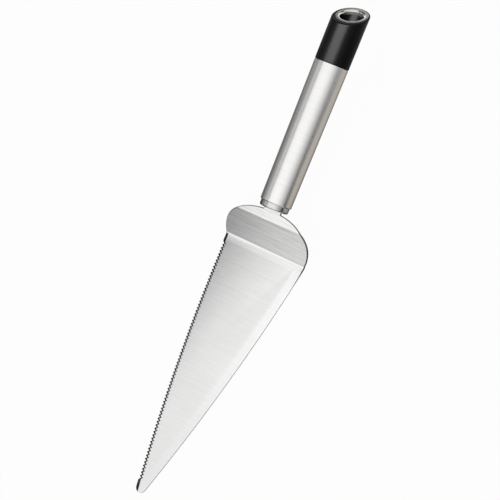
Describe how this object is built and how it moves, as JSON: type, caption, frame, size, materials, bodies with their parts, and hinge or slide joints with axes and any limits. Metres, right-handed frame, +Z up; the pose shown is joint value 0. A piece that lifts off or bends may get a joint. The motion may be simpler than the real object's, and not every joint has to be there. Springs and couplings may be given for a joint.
{
  "type": "cake server",
  "caption": "Cake server with a toothed triangular steel blade, a raised fan, a round hollow steel handle and a black end cap with a hanging eye.",
  "frame": {"origin": "middle of the blade's underside, on the centre line halfway between nose and heel line, in the plane it rests on", "axes": "+Z up out of the blade's serving face, +Y from the nose towards the handle, +X to the plain side of the blade; the teeth are on the -X side"},
  "size_m": [0.0582, 0.3016, 0.048],
  "materials": {
    "blade_steel": "fine brushed grain across the blade",
    "polished_steel": "polished",
    "pin_steel": "turned",
    "handle_steel": "satin, finely brushed round the handle",
    "black_plastic": "smooth black, slight sheen",
    "ring_steel": "satin with a polished lip"
  },
  "bodies": {
    "root": {"blade": "blade_steel", "neck_plug": "polished_steel", "tang_pin": "pin_steel", "handle_tube": "handle_steel", "end_cap": "black_plastic", "hanging_ring": "ring_steel"}
  },
  "joints": []
}
